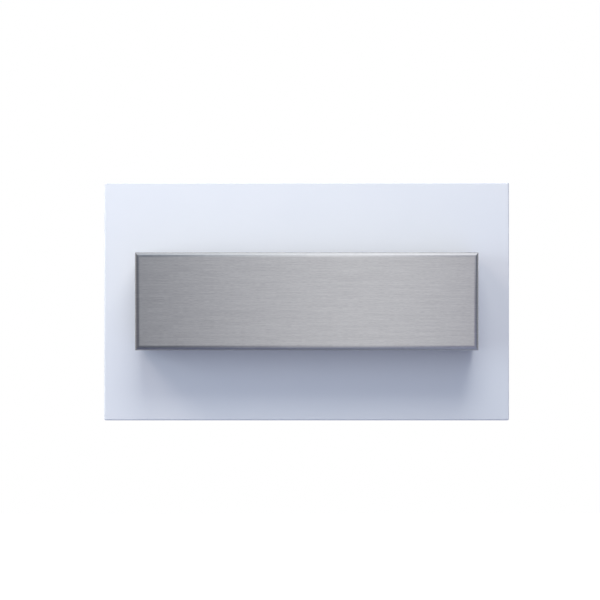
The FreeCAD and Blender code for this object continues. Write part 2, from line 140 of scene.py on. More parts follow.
def slot_cutter(half_width, half_height, corner, y0, y1):
    """A block with rounded corners that cuts a slot along Y, reaching past both faces."""
    cutter = block("cutter", (-half_width, y0 - CUT_PAST, -half_height),
                   (half_width, y1 + CUT_PAST, half_height))
    pick(cutter, "EDGE", runs_along(1))
    bpy.ops.mesh.bevel(offset=corner / 1000, segments=8)
    bpy.ops.object.mode_set(mode="OBJECT")
    return cutter


def smooth(piece, angle=32):
    """Shades the piece smooth across its rounded edges and keeps its flat faces flat."""
    work_on(piece)
    bpy.ops.object.shade_smooth_by_angle(angle=math.radians(angle))
    modify(piece, "WEIGHTED_NORMAL", keep_sharp=True)


def node(tree, kind, inputs=None, stops=None, **properties):
    """Adds a shader node. Each input takes a value, or the output that feeds it. The stops of a
    colour ramp are its places, each with a colour."""
    made = tree.nodes.new("ShaderNode" + kind)
    for count, (place, colour) in enumerate(stops or []):
        if count == len(made.color_ramp.elements):
            made.color_ramp.elements.new(1.0)
        made.color_ramp.elements[count].position = place
        made.color_ramp.elements[count].color = colour
    for name, value in properties.items():
        setattr(made, name, value)
    for name, value in (inputs or {}).items():
        if isinstance(value, bpy.types.NodeSocket):
            tree.links.new(value, made.inputs[name])
        else:
            made.inputs[name].default_value = value
    return made


def start_material(name):
    """An empty material, and its node tree."""
    finish = bpy.data.materials.new(name)
    finish.use_nodes = True
    finish.node_tree.nodes.clear()
    return finish, finish.node_tree


def rgb(code):
    """The linear colour of an sRGB hex value."""
    parts = [int(code[k:k + 2], 16) / 255 for k in (0, 2, 4)]
    return [c / 12.92 if c <= 0.04045 else ((c + 0.055) / 1.055) ** 2.4 for c in parts] + [1]


low, high = [corner * 1000 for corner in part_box("front_plate")]
face_plate = block("face_plate", low, high)
pick(face_plate, "EDGE", runs_along(1))
bpy.ops.mesh.bevel(offset=0.0015, segments=5)
pick(face_plate, "EDGE", within(low, (high.x, low.y, high.z)))
bpy.ops.mesh.bevel(offset=0.0012, segments=5)
pick(face_plate, "EDGE", within((low.x, high.y, low.z), high))
bpy.ops.mesh.bevel(offset=0.0003, segments=2)
cut(face_plate, slot_cutter(half_width=121.8, half_height=19.3, corner=4.5, y0=low.y, y1=high.y))
smooth(face_plate)

# Polyester powder coat, stoved: a hard gloss film that has flowed nearly flat. A very shallow orange
# peel, 2 mm from crest to crest, bends its reflections a little, and its gloss varies faintly.
powder_coat, tree = start_material("powder_coat_gloss_white")
place = node(tree, "TexCoord").outputs["Object"]
cloudy = node(tree, "TexNoise", {"Vector": place, "Scale": 18, "Detail": 2})
tone = node(tree, "Mix", {0: cloudy.outputs["Fac"], 6: rgb("E3E6F0"), 7: rgb("E8EAF3")}, data_type="RGBA")
peel = node(tree, "TexNoise", {"Vector": place, "Scale": 500, "Detail": 1, "Roughness": 0.4})
fine = node(tree, "TexNoise", {"Vector": place, "Scale": 3200, "Detail": 1})
relief = node(tree, "Bump", {"Height": peel.outputs["Fac"], "Strength": 0.12, "Distance": 0.00004})
relief = node(tree, "Bump", {"Height": fine.outputs["Fac"], "Strength": 0.05, "Distance": 0.00001,
                             "Normal": relief.outputs["Normal"]})
gloss = node(tree, "MapRange", {"Value": cloudy.outputs["Fac"], "To Min": 0.16, "To Max": 0.22})
surface = node(tree, "BsdfPrincipled", {"Base Color": tone.outputs[2], "Roughness": gloss.outputs["Result"],
                                        "IOR": 1.5, "Normal": relief.outputs["Normal"]})
node(tree, "OutputMaterial", {"Surface": surface.outputs[0]})

face_plate.data.materials.append(powder_coat)
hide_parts("front_plate")
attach(face_plate, "front")


# ---- Gasket ----
# Closed-cell EPDM foam sheet, die cut with the slot and four holes for the pillars, stuck to the
# back of the plate. It takes up an uneven leaf and keeps rain out of the cut-out.

# the pillars' places (x, z), and the half width, half height and corner of the opening in the foam
PILLARS = ((-140, -30), (-140, 30), (140, -30), (140, 30))
FOAM_OPENING = (123, 20.5, 5)
PILLAR_HOLE = 5.5


def round_cutter(x, z, radius, y0, y1):
    """A cylinder that cuts a round hole along Y, reaching past both faces."""
    nothing_selected()
    bpy.ops.mesh.primitive_cylinder_add(vertices=40, radius=radius / 1000,
                                        depth=(y1 - y0 + 2 * CUT_PAST) / 1000,
                                        location=(x / 1000, (y0 + y1) / 2000, z / 1000),
                                        rotation=(math.radians(90), 0, 0))
    bpy.ops.object.transform_apply(location=True, rotation=True, scale=True)
    return bpy.context.object


low, high = [corner * 1000 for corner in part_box("plate_gasket")]
foam_gasket = block("foam_gasket", low, high)
pick(foam_gasket, "EDGE", runs_along(1))
bpy.ops.mesh.bevel(offset=0.003, segments=5)
cut(foam_gasket, slot_cutter(*FOAM_OPENING, low.y, high.y),
    *[round_cutter(x, z, PILLAR_HOLE, low.y, high.y) for x, z in PILLARS])
round_edges(foam_gasket, 0.2)
smooth(foam_gasket)

# EPDM foam: near black, dull, with a skin that shows its cells as small dimples. Real cells are
# 0.3 mm, drawn here at 0.6 mm so that they show. Handling leaves greyer patches.
foam_rubber, tree = start_material("epdm_foam_black")
place = node(tree, "TexCoord").outputs["Object"]
cells = node(tree, "TexVoronoi", {"Vector": place, "Scale": 1700})
patches = node(tree, "TexNoise", {"Vector": place, "Scale": 60, "Detail": 4})
tone = node(tree, "Mix", {0: patches.outputs["Fac"], 6: rgb("232427"), 7: rgb("35363A")}, data_type="RGBA")
relief = node(tree, "Bump", {"Height": cells.outputs["Distance"], "Strength": 0.5, "Distance": 0.0002})
dull = node(tree, "MapRange", {"Value": patches.outputs["Fac"], "To Min": 0.75, "To Max": 0.95})
surface = node(tree, "BsdfPrincipled", {"Base Color": tone.outputs[2], "Roughness": dull.outputs["Result"],
                                        "Normal": relief.outputs["Normal"]})
node(tree, "OutputMaterial", {"Surface": surface.outputs[0]})

foam_gasket.data.materials.append(foam_rubber)
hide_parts("plate_gasket")
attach(foam_gasket, "front")


# ---- Fixing pillars ----
# Four turned steel pillars with an M5 thread in the far end, zinc plated and pressed into the
# back of the plate.

def finish_nodes(material, *names):
    """Gives the frame's own pieces a material."""
    for name in names:
        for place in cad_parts[name].material_slots:
            place.material = material


# Bright zinc plate on turned steel: a bluish grey metal, slightly cloudy, with the lathe's fine
# feed rings left under the plating.
zinc_plate, tree = start_material("zinc_plated_steel")
place = node(tree, "TexCoord").outputs["Object"]
cloud = node(tree, "TexNoise", {"Vector": place, "Scale": 350, "Detail": 5})
tone = node(tree, "Mix", {0: cloud.outputs["Fac"], 6: rgb("A9ADB3"), 7: rgb("C9CCD0")}, data_type="RGBA")
rings = node(tree, "TexWave", {"Vector": place, "Scale": 900, "Distortion": 0.4}, bands_direction="Y")
relief = node(tree, "Bump", {"Height": rings.outputs["Fac"], "Strength": 0.08, "Distance": 0.00003})
dull = node(tree, "MapRange", {"Value": cloud.outputs["Fac"], "To Min": 0.26, "To Max": 0.42})
surface = node(tree, "BsdfPrincipled", {"Base Color": tone.outputs[2], "Metallic": 1,
                                        "Roughness": dull.outputs["Result"],
                                        "Normal": relief.outputs["Normal"]})
node(tree, "OutputMaterial", {"Surface": surface.outputs[0]})

finish_nodes(zinc_plate, "fixing_pillars")


# ---- Slot liner and rear sleeve ----
# Two black ABS mouldings that telescope with the thickness of the leaf. The liner's flange is
# screwed to the plate, and the sleeve's flange is held in the room-side frame.

# ABS from a spark-eroded mould: black, semi-matt, with an even grain of about 0.4 mm.
black_abs, tree = start_material("moulded_abs_black")
place = node(tree, "TexCoord").outputs["Object"]
grain = node(tree, "TexNoise", {"Vector": place, "Scale": 2400, "Detail": 2})
handled = node(tree, "TexNoise", {"Vector": place, "Scale": 45, "Detail": 3})
tone = node(tree, "Mix", {0: handled.outputs["Fac"], 6: rgb("1B1C1E"), 7: rgb("232427")}, data_type="RGBA")
relief = node(tree, "Bump", {"Height": grain.outputs["Fac"], "Strength": 0.25, "Distance": 0.00006})
dull = node(tree, "MapRange", {"Value": handled.outputs["Fac"], "To Min": 0.42, "To Max": 0.55})
surface = node(tree, "BsdfPrincipled", {"Base Color": tone.outputs[2], "Roughness": dull.outputs["Result"],
                                        "IOR": 1.54, "Normal": relief.outputs["Normal"]})
node(tree, "OutputMaterial", {"Surface": surface.outputs[0]})

finish_nodes(black_abs, "slot_liner", "rear_sleeve")


# ---- Hinge ears, bushes and screws ----
# Gooseneck ears of stainless sheet, screwed from behind the plate beside the slot. A flanged nylon
# bush is pressed in each, and a turned shoulder screw in the flap's boss pivots in it.

# Stainless sheet as rolled: a soft grey sheen with faint mottling.
mill_stainless, tree = start_material("stainless_sheet_2b")
place = node(tree, "TexCoord").outputs["Object"]
mottle = node(tree, "TexNoise", {"Vector": place, "Scale": 700, "Detail": 6})
tone = node(tree, "Mix", {0: mottle.outputs["Fac"], 6: rgb("A3A3A5"), 7: rgb("B6B6B7")}, data_type="RGBA")
dull = node(tree, "MapRange", {"Value": mottle.outputs["Fac"], "To Min": 0.32, "To Max": 0.44})
relief = node(tree, "Bump", {"Height": mottle.outputs["Fac"], "Strength": 0.06, "Distance": 0.00003})
surface = node(tree, "BsdfPrincipled", {"Base Color": tone.outputs[2], "Metallic": 1,
                                        "Roughness": dull.outputs["Result"],
                                        "Normal": relief.outputs["Normal"]})
node(tree, "OutputMaterial", {"Surface": surface.outputs[0]})
finish_nodes(mill_stainless, "left_hinge_ear", "right_hinge_ear", "left_pivot_plate", "right_pivot_plate")

# Stainless steel, turned: brighter than the sheet, with fine rings from the lathe.
turned_stainless, tree = start_material("stainless_turned")
place = node(tree, "TexCoord").outputs["Object"]
rings = node(tree, "TexWave", {"Vector": place, "Scale": 1100, "Distortion": 0.6}, bands_direction="X")
smear = node(tree, "TexNoise", {"Vector": place, "Scale": 420, "Detail": 3})
tone = node(tree, "Mix", {0: smear.outputs["Fac"], 6: rgb("B4B4B5"), 7: rgb("CACACA")}, data_type="RGBA")
relief = node(tree, "Bump", {"Height": rings.outputs["Fac"], "Strength": 0.08, "Distance": 0.00002})
dull = node(tree, "MapRange", {"Value": smear.outputs["Fac"], "To Min": 0.18, "To Max": 0.30})
surface = node(tree, "BsdfPrincipled", {"Base Color": tone.outputs[2], "Metallic": 1,
                                        "Roughness": dull.outputs["Result"],
                                        "Normal": relief.outputs["Normal"]})
node(tree, "OutputMaterial", {"Surface": surface.outputs[0]})
finish_nodes(turned_stainless, "liner_screws", "ear_screws", "left_pivot_screw", "right_pivot_screw",
             "rod_clips")

# Natural nylon: a warm off-white that lets a little light in.
nylon, tree = start_material("nylon_natural")
place = node(tree, "TexCoord").outputs["Object"]
cloud = node(tree, "TexNoise", {"Vector": place, "Scale": 500, "Detail": 2})
tone = node(tree, "Mix", {0: cloud.outputs["Fac"], 6: rgb("DDD9CB"), 7: rgb("E8E5DA")}, data_type="RGBA")
surface = node(tree, "BsdfPrincipled", {"Base Color": tone.outputs[2], "Roughness": 0.4, "IOR": 1.53,
                                        "Subsurface Weight": 0.3, "Subsurface Scale": 0.001})
node(tree, "OutputMaterial", {"Surface": surface.outputs[0]})
finish_nodes(nylon, "left_pivot_bush", "right_pivot_bush")


# ---- Closing springs ----
# Torsion springs of 1 mm stainless wire round the pivot screws. One leg is hooked in the ear and
# the other in the flap, so the coil winds tighter as the flap is lifted.

def end_ring(piece, centre, radius):
    """Selects the open ring of the wire at a point in millimetres."""
    mesh_centre = Vector(centre) / 1000
    pick(piece, "VERT", lambda v: v.is_boundary and (v.co - mesh_centre).length < radius / 1000 * 1.2)
    bpy.ops.mesh.select_mode(type="EDGE")


def add_leg(piece, start, corners, wire, bend=1.4):
    """Draws a leg out of the wire's open end through the corners, in millimetres, bending it at each,
    and closes it with a rounded tip."""
    end_ring(piece, start, wire)
    here = Vector(start)
    for count, corner in enumerate(corners):
        corner = Vector(corner)
        along = (corner - here).normalized()
        last = count == len(corners) - 1
        turned = None if last else (Vector(corners[count + 1]) - corner).normalized()
        angle = 0 if last else along.angle(turned)
        set_back = 0 if last else bend * math.tan(angle / 2)
        run = (corner - here).length - set_back
        bpy.ops.mesh.extrude_region_move(TRANSFORM_OT_translate={"value": along * run / 1000})
        here = corner - along * set_back
        if not last:
            axis = along.cross(turned).normalized()
            centre = here + axis.cross(along) * bend
            bpy.ops.mesh.spin(steps=8, angle=angle, center=centre / 1000, axis=-axis)
            here = corner + turned * set_back
    bpy.ops.mesh.extrude_region_move(TRANSFORM_OT_translate={"value": along * wire * 0.25 / 1000})
    bpy.ops.transform.resize(value=(0.7, 0.7, 0.7), center_override=(here + along * wire * 0.25) / 1000)
    bpy.ops.mesh.edge_face_add()


def torsion_spring(name, axis_at, coil_radius, wire, pitch, start, end, turns, x, legs):
    """A coil round an axis along X between two angles, counted from +Y towards +Z, and its two legs.
    With positive turns it winds from +Y towards +Z. The legs are lists of corners in millimetres."""
    sense = 1 if turns > 0 else -1
    sweep = (sense * (end - start)) % 360 + abs(turns) * 360
    angles = [math.radians(a) for a in (start, start + sense * sweep)]
    xs = [x, x + pitch * sweep / 360]
    ends = [Vector((at, axis_at[0] + coil_radius * math.cos(a), axis_at[1] + coil_radius * math.sin(a)))
            for at, a in zip(xs, angles)]
    nothing_selected()
    bpy.ops.mesh.primitive_circle_add(vertices=14, radius=wire / 1000)
    spring = bpy.context.object
    spring.name = spring.data.name = name
    along = Vector((pitch / (2 * math.pi), -sense * coil_radius * math.sin(angles[0]),
                    sense * coil_radius * math.cos(angles[0])))
    spring.rotation_euler = along.to_track_quat("Z", "Y").to_euler()
    spring.location = (ends[0] - Vector((0, *axis_at))) / 1000
    bpy.ops.object.transform_apply(location=True, rotation=True, scale=True)
    steps = round(sweep / 12)
    modify(spring, "SCREW", axis="X", angle=math.radians(sense * sweep), steps=steps, render_steps=steps,
           screw_offset=pitch * sweep / 360 / 1000, use_normal_calculate=True)
    spring.location = Vector((0, *axis_at)) / 1000
    bpy.ops.object.transform_apply(location=True, rotation=True, scale=True)
    for start_at, corners in zip(ends, legs):
        add_leg(spring, start_at, corners, wire)
    pick(spring, "VERT", lambda v: True)
    bpy.ops.mesh.normals_make_consistent(inside=False)
    smooth(spring, 60)
    return spring


def other_side(piece, name):
    """A copy of the piece, with its own mesh, mirrored to the left-hand side."""
    work_on(piece)
    bpy.ops.object.duplicate()
    copy = bpy.context.object
    copy.name = copy.data.name = name
    copy.scale.x = -1
    bpy.ops.object.transform_apply(location=True, rotation=True, scale=True)
    pick(copy, "FACE", lambda f: True)
    bpy.ops.mesh.normals_make_consistent(inside=False)
    smooth(copy, 60)
    return copy


# the hinge's y and z, the wire's radius, the coil's radius and pitch and the x where it starts, the
# legs' reach from the hinge, and the angles of their tips
HINGE = (-22.0, 33.0)
WIRE = 0.5
COIL, PITCH, FIRST_X = 3.7, 1.1, 129.9
REACH = 9
FIXED_AT, MOVING_AT = -100, 180
lead = math.degrees(math.acos(COIL / REACH))
fixed_tip = [HINGE[0] + REACH * math.cos(math.radians(FIXED_AT)),
             HINGE[1] + REACH * math.sin(math.radians(FIXED_AT))]
moving_tip = [HINGE[0] - REACH, HINGE[1]]
start, end = FIXED_AT - lead, MOVING_AT + lead
coil_end = FIRST_X + PITCH * ((start - end) % 360 + 3 * 360) / 360
right_spring = torsion_spring(
    "right_closing_spring_wire", HINGE, COIL, WIRE, PITCH, start, end, -3, FIRST_X,
    [[(FIRST_X, *fixed_tip), (127.1, *fixed_tip)], [(coil_end, *moving_tip), (138.2, *moving_tip)]])

# Drawn stainless spring wire: grey and satin, with faint die lines along it.
spring_wire, tree = start_material("stainless_spring_wire")
place = node(tree, "TexCoord").outputs["Object"]
draw = node(tree, "TexNoise", {"Vector": place, "Scale": 1500, "Detail": 3})
tone = node(tree, "Mix", {0: draw.outputs["Fac"], 6: rgb("A4A4A6"), 7: rgb("C4C4C5")}, data_type="RGBA")
dull = node(tree, "MapRange", {"Value": draw.outputs["Fac"], "To Min": 0.25, "To Max": 0.4})
surface = node(tree, "BsdfPrincipled", {"Base Color": tone.outputs[2], "Metallic": 1,
                                        "Roughness": dull.outputs["Result"]})
node(tree, "OutputMaterial", {"Surface": surface.outputs[0]})
right_spring.data.materials.append(spring_wire)
left_spring = other_side(right_spring, "left_closing_spring_wire")
for spring, side, stands_for in ((right_spring, 1, "right_closing_spring"),
                                 (left_spring, -1, "left_closing_spring")):
    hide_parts(stands_for)
    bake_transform(spring)


# ---- Flap pads ----
# Two small pads of black rubber on the plate, where the flap's cheeks come to rest.

# Solid rubber, moulded: dark, matt, a little dusty.
pad_rubber, tree = start_material("moulded_rubber")
place = node(tree, "TexCoord").outputs["Object"]
dust = node(tree, "TexNoise", {"Vector": place, "Scale": 900, "Detail": 4})
tone = node(tree, "Mix", {0: dust.outputs["Fac"], 6: rgb("26272A"), 7: rgb("3B3C3F")}, data_type="RGBA")
relief = node(tree, "Bump", {"Height": dust.outputs["Fac"], "Strength": 0.3, "Distance": 0.00005})
surface = node(tree, "BsdfPrincipled", {"Base Color": tone.outputs[2], "Roughness": 0.8,
                                        "Normal": relief.outputs["Normal"]})
node(tree, "OutputMaterial", {"Surface": surface.outputs[0]})
finish_nodes(pad_rubber, "flap_pads")


# ---- Box flap ----
# One blank of 1.5 mm stainless, brushed along its length, folded to a shallow box with welded and
# ground corners. Its bottom wall is a short lip, turned up inside, with room behind for the fingers.

# in millimetres: the sheet, its outside bends, the lip's depth, half width, upturn and bend, and the
# height at which the cheeks' back starts to lean forward
SHEET, BEND = 1.5, 4.5
LIP_DEPTH, LIP_HALF_WIDTH, UPTURN, UPTURN_BEND = 12, 136, 6.5, 2.5
LEAN_FROM = 37.28
low, high = [corner * 1000 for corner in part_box("outer_flap")]
low, high = Vector((-140, low.y, -40)), Vector((140, high.y, 40))
box_flap = block("box_flap", low, high)
pick(box_flap, "FACE", within((low.x, high.y, low.z), high))
bpy.ops.mesh.delete(type="FACE")
pick(box_flap, "EDGE", within(low, (high.x, low.y, high.z)))
bpy.ops.mesh.bevel(offset=BEND / 1000, segments=12)

# the bottom wall is cut back to the lip, and the lip's edge is turned up
lip = low.y + LIP_DEPTH
pick(box_flap, "FACE", lambda f: f.normal.z < -0.99)
bpy.ops.mesh.bisect(plane_co=(0, lip / 1000, 0), plane_no=(0, 1, 0))
pick(box_flap, "FACE", within((low.x, lip, low.z), (high.x, high.y, low.z)))
bpy.ops.mesh.delete(type="FACE")
for x in (-LIP_HALF_WIDTH, LIP_HALF_WIDTH):
    pick(box_flap, "FACE", lambda f: f.normal.z < -0.99)
    bpy.ops.mesh.bisect(plane_co=(x / 1000, 0, 0), plane_no=(1, 0, 0))
lip_edge = within((-LIP_HALF_WIDTH, lip, low.z), (LIP_HALF_WIDTH, lip, low.z))
pick(box_flap, "EDGE", lip_edge)
bpy.ops.mesh.extrude_region_move(TRANSFORM_OT_translate={"value": (0, 0, UPTURN / 1000)})
pick(box_flap, "EDGE", lip_edge)
bpy.ops.mesh.bevel(offset=UPTURN_BEND / 1000, segments=6)

# the cheeks' rear corners: a radius at the bottom, and at the top the line that clears the plate
pick(box_flap, "VERT", within((low.x, high.y, low.z), (high.x, high.y, low.z)))
bpy.ops.mesh.bevel(offset=0.004, segments=6, affect="VERTICES")
pick(box_flap, "FACE", lambda f: True)
bpy.ops.mesh.bisect(plane_co=(0, high.y / 1000, LEAN_FROM / 1000), plane_no=(0, 2.72, 1.06),
                    clear_outer=True)
pick(box_flap, "FACE", lambda f: True)
bpy.ops.mesh.normals_make_consistent(inside=False)
modify(box_flap, "SOLIDIFY", thickness=SHEET / 1000, offset=-1, use_even_offset=True)
round_edges(box_flap, 0.25)


def unfold(piece, front):
    """Gives each face its place on the flat sheet, in millimetres, so that the grain follows the folds."""
    sheet = piece.data.uv_layers.new(name="sheet")
    for face in piece.data.polygons:
        facing = face.normal
        for corner in face.loop_indices:
            at = piece.data.vertices[piece.data.loops[corner].vertex_index].co * 1000
            depth = abs(at.y - front)
            if abs(facing.x) > max(abs(facing.y), abs(facing.z)):
                sheet.data[corner].uv = (at.x + math.copysign(depth, at.x), at.z)
            elif abs(facing.z) > abs(facing.y):
                sheet.data[corner].uv = (at.x, at.z + math.copysign(depth, at.z))
            else:
                sheet.data[corner].uv = (at.x, at.z)


unfold(box_flap, low.y)
smooth(box_flap)

# Stainless steel, belt brushed with about 240 grit: long fine lines along the sheet. The lines are
# 0.1 mm apart on the real sheet, drawn here from 0.4 mm up so that they show. They spread each
# highlight across the grain and leave it sharper along it.
brushed_steel, tree = start_material("stainless_brushed_240_grit")
sheet = node(tree, "UVMap", uv_map="sheet").outputs["UV"]
hair = node(tree, "Mapping", {"Vector": sheet, "Scale": (0.045, 2.6, 1)})
hair = node(tree, "TexNoise", {"Vector": hair.outputs[0], "Scale": 1, "Detail": 3, "Roughness": 0.6})
nicks = node(tree, "Mapping", {"Vector": sheet, "Scale": (0.24, 4.2, 1), "Location": (11, 5, 0)})
nicks = node(tree, "TexNoise", {"Vector": nicks.outputs[0], "Scale": 1, "Detail": 2})
band = node(tree, "Mapping", {"Vector": sheet, "Scale": (0.01, 0.4, 1), "Location": (3, 7, 0)})
band = node(tree, "TexNoise", {"Vector": band.outputs[0], "Scale": 1, "Detail": 2})
lines = node(tree, "Math", {0: hair.outputs["Fac"], 1: nicks.outputs["Fac"]}, operation="ADD")
lines = node(tree, "Math", {0: band.outputs["Fac"], 1: 0.35, 2: lines.outputs[0]}, operation="MULTIPLY_ADD")
lines = node(tree, "MapRange", {"Value": lines.outputs[0], "From Min": 0.98, "From Max": 1.37})
tone = node(tree, "Mix", {0: lines.outputs["Result"], 6: rgb("BFBCBA"), 7: rgb("D6D3CF")}, data_type="RGBA")
dull = node(tree, "MapRange", {"Value": lines.outputs["Result"], "To Min": 0.28, "To Max": 0.33})
relief = node(tree, "Bump", {"Height": lines.outputs["Result"], "Strength": 0.1, "Distance": 0.00005})
along = node(tree, "Tangent", direction_type="UV_MAP", uv_map="sheet")
surface = node(tree, "BsdfPrincipled", {"Base Color": tone.outputs[2], "Metallic": 1,
                                        "Roughness": dull.outputs["Result"], "Anisotropic": 0.8,
                                        "Anisotropic Rotation": 0.25, "Tangent": along.outputs[0],
                                        "Normal": relief.outputs["Normal"]})
node(tree, "OutputMaterial", {"Surface": surface.outputs[0]})

box_flap.data.materials.append(brushed_steel)
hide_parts("outer_flap")
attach(box_flap, "flap")


# ---- Room-side frame ----
# Aluminium frame, coated like the face plate. It clamps the leaf, holds the sleeve's flange in a
# recess and carries two lugs for the inner flap's rod.

finish_nodes(powder_coat, "inner_frame")


# ---- Fixing bolts ----
# M5 countersunk socket bolts, 25 mm long, zinc plated. They draw the frame and the plate together
# on the leaf.

# the thread is a closed ridge wound round the shank. Its pitch in metres, its turns, and the y where
# it starts, in metres
THREAD_PITCH, THREAD_TURNS, THREAD_FROM = 0.0008, 26, 0.0233
nothing_selected()
bpy.ops.mesh.primitive_plane_add(size=0.001)
first_bolt = bpy.context.object
first_bolt.scale = (0.42, 0.72, 1)
first_bolt.location.x = 0.00222
bpy.ops.object.transform_apply(location=True, rotation=True, scale=True)
pick(first_bolt, "FACE", lambda f: True)
bpy.ops.mesh.delete(type="ONLY_FACE")
pick(first_bolt, "VERT", lambda v: v.co.x > 0.0023)
bpy.ops.transform.resize(value=(1, 0.14, 1), center_override=(0.00243, 0, 0))
modify(first_bolt, "SCREW", axis="Y", angle=math.radians(360), screw_offset=THREAD_PITCH,
       iterations=THREAD_TURNS, steps=24, render_steps=24, use_merge_vertices=True, use_normal_calculate=True)
first_bolt.location.y = THREAD_FROM
bpy.ops.object.transform_apply(location=True, rotation=True, scale=True)
for end in (THREAD_FROM, THREAD_FROM + THREAD_TURNS * THREAD_PITCH):
    pick(first_bolt, "VERT", lambda v: v.is_boundary and abs(v.co.y - end) < 0.0005)
    bpy.ops.mesh.edge_face_add()


def turned(name, radii, x=0.0, z=0.0, vertices=40):
    """A cylinder along Y, then necked to each (y, radius) in millimetres, as on a lathe."""
    nothing_selected()
    (y0, r0), (y1, r1) = radii[:2]
    bpy.ops.mesh.primitive_cone_add(vertices=vertices, radius1=r0 / 1000, radius2=r1 / 1000,
                                    depth=(y1 - y0) / 1000, location=(x / 1000, (y0 + y1) / 2000, z / 1000),
                                    rotation=(math.radians(-90), 0, 0))
    piece = bpy.context.object
    piece.name = piece.data.name = name
    bpy.ops.object.transform_apply(location=True, rotation=True, scale=True)
    for y, radius in radii[2:]:
        pick(piece, "FACE", lambda f: f.normal.y > 0.99 and abs(f.calc_center_median().y * 1000 - y1) < 0.01)
        bpy.ops.mesh.extrude_region_move(TRANSFORM_OT_translate={"value": (0, (y - y1) / 1000, 0)})
        grow = radius / r1
        bpy.ops.transform.resize(value=(grow, 1, grow), center_override=(x / 1000, y / 1000, z / 1000))
        y1, r1 = y, radius
    bpy.ops.object.mode_set(mode="OBJECT")
    return piece


shank = turned("shank", [(23.0, 1.3), (23.7, 2.08), (45.0, 2.08), (45.35, 2.45), (47.6, 4.75), (47.9, 4.95),
                         (47.92, 4.8)])
socket = turned("cutter", [(46.0, 1.73), (49.0, 1.73)], vertices=6)
cut(shank, socket)
nothing_selected()
shank.select_set(True)
first_bolt.select_set(True)
bpy.context.view_layer.objects.active = first_bolt
bpy.ops.object.join()
pick(first_bolt, "FACE", lambda f: True)
bpy.ops.mesh.normals_make_consistent(inside=False)
smooth(first_bolt, 40)
first_bolt.data.materials.append(zinc_plate)
first_bolt.name = first_bolt.data.name = "fixing_bolt_1"
bolts = [first_bolt]
for number in (2, 3, 4):
    work_on(first_bolt)
    bpy.ops.object.duplicate()
    bpy.context.object.name = bpy.context.object.data.name = f"fixing_bolt_{number}"
    bolts.append(bpy.context.object)
for bolt, (x, z) in zip(bolts, sorted(PILLARS, key=lambda at: at[1])):
    work_on(bolt)
    bolt.location = (x / 1000, 0, z / 1000)
    bpy.ops.object.transform_apply(location=True, rotation=True, scale=True)
    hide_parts("fixing_bolts")
    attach(bolt, "inner")


# ---- Window seal ----
# Ring of soft EPDM foam stuck to the frame round the window. The inner flap is pressed on it and
# shuts out the draught.

low, high = [corner * 1000 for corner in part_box("inner_seal")]
window_seal = block("window_seal", low, high)
pick(window_seal, "EDGE", runs_along(1))
bpy.ops.mesh.bevel(offset=0.006, segments=8)
cut(window_seal, slot_cutter(*FOAM_OPENING, low.y, high.y))
round_edges(window_seal, 0.5, segments=3)
smooth(window_seal)
window_seal.data.materials.append(foam_rubber)
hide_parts("inner_seal")
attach(window_seal, "inner")


# ---- Inner flap ----
# Brushed stainless sheet. Three knuckles are rolled from its top edge round the rod, two notches let
# the springs' legs through, and its bottom edge is folded to the room as a finger rail.

# the rod's centre, the sheet's top below the knuckles, where the knuckles are, where the notches
# start, and their width and floor
ROD = Vector((0, 53.55, 31.0))
SHEET_TOP = 27
KNUCKLES = ((-130, -114), (-30, 30), (114, 130))
NOTCHES, NOTCH_WIDTH, NOTCH_FLOOR = (-111.5, 106.5), 5, 22.5
low, high = [corner * 1000 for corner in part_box("inner_flap")]
inner_flap = block("inner_flap_sheet", (low.x, low.y, low.z), (high.x, high.y, SHEET_TOP))
pick(inner_flap, "FACE", lambda f: f.normal.y > -0.9 and f.normal.z > -0.9)
bpy.ops.mesh.delete(type="FACE")
for x in sorted([-114, -30, 30, 114, *NOTCHES, *[x + NOTCH_WIDTH for x in NOTCHES]]):
    pick(inner_flap, "FACE", lambda f: f.normal.y < -0.9)
    bpy.ops.mesh.bisect(plane_co=(x / 1000, 0, 0), plane_no=(1, 0, 0))
for x in NOTCHES:
    pick(inner_flap, "FACE", within((x, low.y, low.z), (x + NOTCH_WIDTH, low.y, SHEET_TOP)))
    bpy.ops.mesh.bisect(plane_co=(0, 0, NOTCH_FLOOR / 1000), plane_no=(0, 0, 1))
    pick(inner_flap, "FACE", within((x, low.y, NOTCH_FLOOR), (x + NOTCH_WIDTH, low.y, SHEET_TOP)))
    bpy.ops.mesh.delete(type="FACE")
pick(inner_flap, "EDGE", within((low.x, low.y, low.z), (high.x, low.y, low.z)))
bpy.ops.mesh.bevel(offset=0.002, segments=5)
for x0, x1 in KNUCKLES:
    pick(inner_flap, "EDGE", within((x0, low.y, SHEET_TOP), (x1, low.y, SHEET_TOP)))
    bpy.ops.mesh.extrude_region_move(TRANSFORM_OT_translate={"value": (0, 0, (ROD.z - SHEET_TOP) / 1000)})
    bpy.ops.mesh.spin(steps=32, angle=math.radians(318), center=ROD / 1000, axis=(1, 0, 0))
pick(inner_flap, "FACE", lambda f: True)
bpy.ops.mesh.remove_doubles(threshold=0.00001)
bpy.ops.mesh.normals_make_consistent(inside=False)

# the sheet is still open, so its largest face tells which side is out
mesh = bmesh.from_edit_mesh(inner_flap.data)
panel = max(mesh.faces, key=lambda f: f.calc_area())
if panel.normal.y > 0:
    bpy.ops.mesh.flip_normals()
modify(inner_flap, "SOLIDIFY", thickness=SHEET / 1000, offset=-1, use_even_offset=True)
round_edges(inner_flap, 0.2)
unfold(inner_flap, low.y)
smooth(inner_flap)
inner_flap.data.materials.append(brushed_steel)
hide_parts("inner_flap")
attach(inner_flap, "room_flap")


# ---- Hinge rod ----
# Ground stainless rod, 4 mm, through both lugs and the knuckles, its ends chamfered and held by
# push-on washers.

